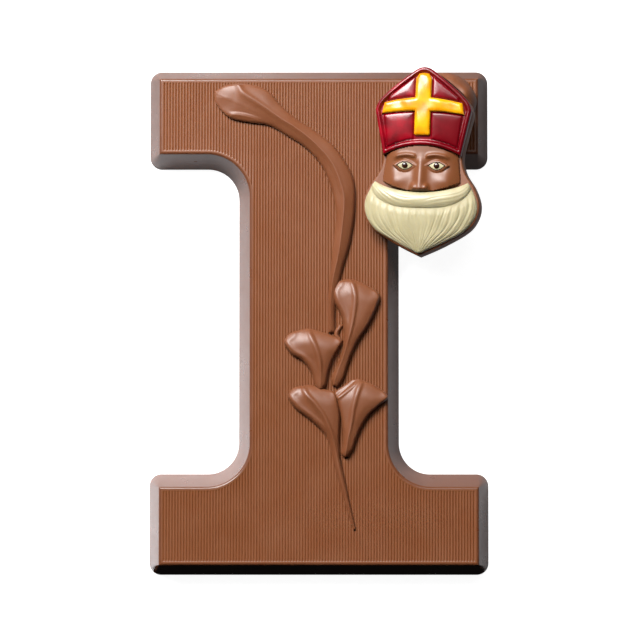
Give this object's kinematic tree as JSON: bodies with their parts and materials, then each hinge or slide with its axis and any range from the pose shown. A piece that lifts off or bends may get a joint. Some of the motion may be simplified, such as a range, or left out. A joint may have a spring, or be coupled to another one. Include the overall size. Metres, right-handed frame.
{
  "type": "chocolate letter",
  "caption": "Moulded milk chocolate letter with slab serifs, drafted sides and a finely fluted front, piped petal strokes and a moulded bearded head in a mitre; lies on its flat back.",
  "frame": {"origin": "middle of the letter's flat back, on the surface it lies on", "axes": "+X to the letter's right as it is read, +Y to the letter's top, +Z out of its front"},
  "size_m": [0.1208, 0.18, 0.0301],
  "materials": {
    "milk_chocolate": "glossy tempered milk chocolate, released from a polished mould",
    "red_cocoa_butter": "glossy crimson coloured cocoa butter over chocolate",
    "yellow_cocoa_butter": "glossy egg-yellow coloured cocoa butter over chocolate",
    "white_chocolate": "satin cream white chocolate",
    "dark_chocolate": "glossy dark chocolate"
  },
  "bodies": {
    "root": {"letter": "milk_chocolate", "stem_stroke": "milk_chocolate", "upper_petal": "milk_chocolate", "left_petal": "milk_chocolate", "lower_left_petal": "milk_chocolate", "lower_right_petal": "milk_chocolate", "fixing_dollop": "milk_chocolate", "head_core": "milk_chocolate", "mitre": "red_cocoa_butter", "mitre_cross": "yellow_cocoa_butter", "beard": "white_chocolate", "eye_left": "white_chocolate", "eye_right": "white_chocolate", "iris_left": "dark_chocolate", "iris_right": "dark_chocolate"}
  },
  "joints": []
}
